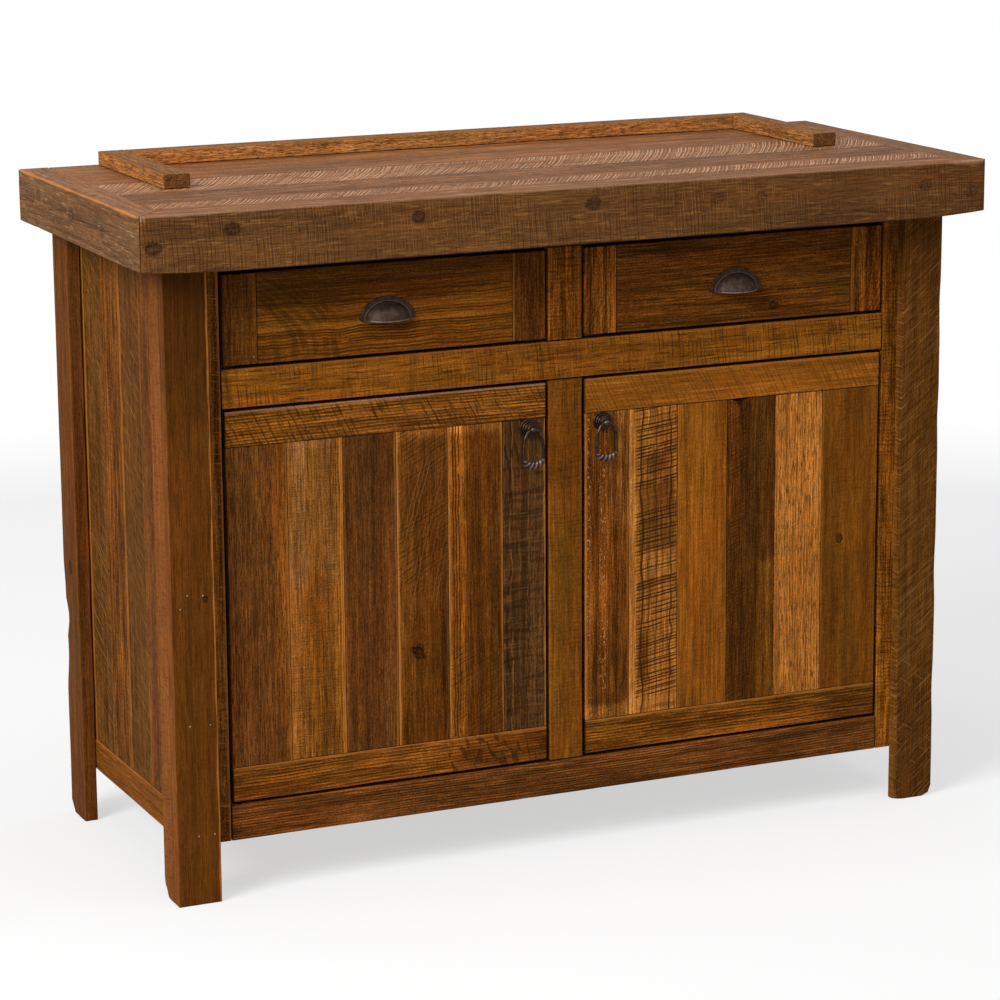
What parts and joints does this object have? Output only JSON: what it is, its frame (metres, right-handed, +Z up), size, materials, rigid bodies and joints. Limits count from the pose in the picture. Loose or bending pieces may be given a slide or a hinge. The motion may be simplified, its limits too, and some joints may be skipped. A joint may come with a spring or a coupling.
{
  "type": "buffet cabinet",
  "caption": "Reclaimed-wood buffet cabinet with inset drawers over plank doors, cup pulls and ring pulls, board legs and a low gallery rail on a thick-edged plank top.",
  "frame": {"origin": "on the floor, under the middle of the top", "axes": "+X to the right along the front, +Y from front to back, +Z up"},
  "size_m": [1.2192, 0.508, 0.9337],
  "materials": {
    "top_wood": "weathered, waxed, rough-sawn",
    "gallery_wood": "rough-sawn, waxed",
    "leg_wood": "reclaimed, satin",
    "frame_wood": "reclaimed, satin",
    "side_wood": "reclaimed, satin",
    "door_wood": "reclaimed, satin",
    "drawer_wood": "reclaimed, satin",
    "inside_wood": "plain, sealed",
    "bronze": "dark oil-rubbed bronze",
    "steel": "plain"
  },
  "bodies": {
    "case": {"top_plank_1": "top_wood", "top_plank_2": "top_wood", "top_plank_3": "top_wood", "top_plank_4": "top_wood", "top_plank_5": "top_wood", "front_edge_beam": "top_wood", "left_edge_beam": "top_wood", "right_edge_beam": "top_wood", "back_gallery_rail": "gallery_wood", "left_gallery_arm": "gallery_wood", "right_gallery_arm": "gallery_wood", "left_front_leg_face": "leg_wood", "left_front_leg_side": "leg_wood", "left_back_leg": "leg_wood", "right_front_leg_face": "leg_wood", "right_front_leg_side": "leg_wood", "right_back_leg": "leg_wood", "left_stile": "frame_wood", "right_stile": "frame_wood", "top_rail": "frame_wood", "mid_rail": "frame_wood", "bottom_rail": "frame_wood", "upper_centre_stile": "frame_wood", "lower_centre_stile": "frame_wood", "left_side_panel": "side_wood", "left_side_rail": "side_wood", "right_side_panel": "side_wood", "right_side_rail": "side_wood", "back_panel": "inside_wood", "cabinet_floor": "inside_wood", "shelf": "inside_wood", "left_drawer_runner": "inside_wood", "centre_drawer_runner": "inside_wood", "right_drawer_runner": "inside_wood", "left_door_upper_pivot": "steel", "left_door_lower_pivot": "steel", "right_door_upper_pivot": "steel", "right_door_lower_pivot": "steel"},
    "left_drawer": {"left_drawer_front": "drawer_wood", "left_drawer_inner_batten": "drawer_wood", "left_drawer_outer_batten": "drawer_wood", "left_drawer_box": "inside_wood", "left_drawer_bottom": "inside_wood", "left_drawer_cup_pull": "bronze"},
    "right_drawer": {"right_drawer_front": "drawer_wood", "right_drawer_inner_batten": "drawer_wood", "right_drawer_outer_batten": "drawer_wood", "right_drawer_box": "inside_wood", "right_drawer_bottom": "inside_wood", "right_drawer_cup_pull": "bronze"},
    "left_door": {"left_door_top_rail": "door_wood", "left_door_bottom_rail": "door_wood", "left_door_planks": "door_wood", "left_door_rosette": "bronze"},
    "right_door": {"right_door_top_rail": "door_wood", "right_door_bottom_rail": "door_wood", "right_door_planks": "door_wood", "right_door_rosette": "bronze"},
    "left_ring": {"left_door_ring": "bronze"},
    "right_ring": {"right_door_ring": "bronze"}
  },
  "joints": [
    {"name": "left_drawer_slide", "type": "slide", "parent": "case", "child": "left_drawer", "axis": [0, -1, 0], "range_m": [0, 0.28]},
    {"name": "right_drawer_slide", "type": "slide", "parent": "case", "child": "right_drawer", "axis": [0, -1, 0], "range_m": [0, 0.28]},
    {"name": "left_door_hinge", "type": "hinge", "parent": "case", "child": "left_door", "pos_m": [-0.4718, -0.1854, 0.3867], "axis": [0, 0, -1], "range_deg": [0, 110]},
    {"name": "right_door_hinge", "type": "hinge", "parent": "case", "child": "right_door", "pos_m": [0.4718, -0.1854, 0.3867], "axis": [0, 0, 1], "range_deg": [0, 110]},
    {"name": "left_ring_swing", "type": "hinge", "parent": "left_door", "child": "left_ring", "pos_m": [-0.0539, -0.2063, 0.5881], "axis": [-1, 0, 0], "range_deg": [0, 120]},
    {"name": "right_ring_swing", "type": "hinge", "parent": "right_door", "child": "right_ring", "pos_m": [0.0539, -0.2063, 0.5881], "axis": [-1, 0, 0], "range_deg": [0, 120]}
  ]
}
